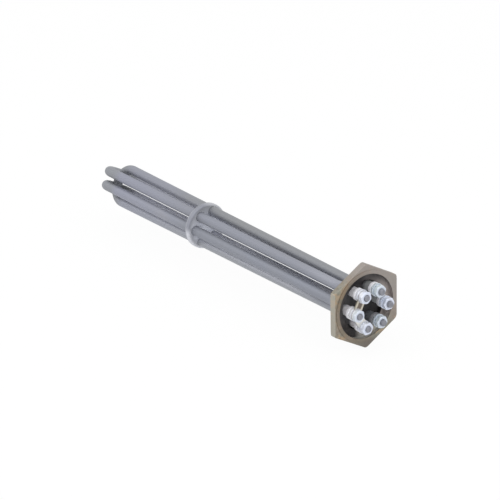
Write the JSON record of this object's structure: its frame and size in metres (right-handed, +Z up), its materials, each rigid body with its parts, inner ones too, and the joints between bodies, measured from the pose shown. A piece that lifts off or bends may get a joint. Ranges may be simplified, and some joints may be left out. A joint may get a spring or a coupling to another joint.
{
  "type": "screw plug immersion heater",
  "caption": "Immersion heater of bent tubular elements brazed into a hexagon screw plug, with a support plate along the bundle and linked stud terminals in a recess at the front.",
  "frame": {"origin": "on the plug's axis, in the seating face behind the hexagon", "axes": "+X along the plug's axis from the element tips towards the terminals, +Z up through a corner of the hexagon"},
  "size_m": [0.3509, 0.06, 0.0692],
  "materials": {
    "plug_brass": "aged, turned",
    "sheath_steel": "dull, drawn tube",
    "insulating_powder": "pressed powder",
    "coil_wire": "oxidised wire",
    "stud_steel": "zinc plated",
    "bush_ceramic": "unglazed ceramic",
    "black_compound": "matte",
    "plate_steel": "pressed sheet",
    "link_brass": "tarnished strip",
    "zinc_steel": "bright zinc plated"
  },
  "bodies": {
    "root": {"screw_plug": "plug_brass", "hairpin_upper": "sheath_steel", "hairpin_lower": "sheath_steel", "hairpin_cross": "sheath_steel", "powder_upper": "insulating_powder", "powder_lower": "insulating_powder", "powder_cross": "insulating_powder", "coil_upper": "coil_wire", "coil_lower": "coil_wire", "coil_cross": "coil_wire", "terminal_pin_1": "stud_steel", "terminal_pin_2": "stud_steel", "terminal_pin_3": "stud_steel", "terminal_pin_4": "stud_steel", "terminal_pin_5": "stud_steel", "terminal_pin_6": "stud_steel", "insulator_1": "bush_ceramic", "insulator_2": "bush_ceramic", "insulator_3": "bush_ceramic", "insulator_4": "bush_ceramic", "insulator_5": "bush_ceramic", "insulator_6": "bush_ceramic", "sealing_compound": "black_compound", "support_plate": "plate_steel", "star_link": "link_brass", "clamp_nuts": "zinc_steel", "flat_washers": "zinc_steel", "lock_washers": "zinc_steel", "terminal_nuts": "zinc_steel"}
  },
  "joints": []
}
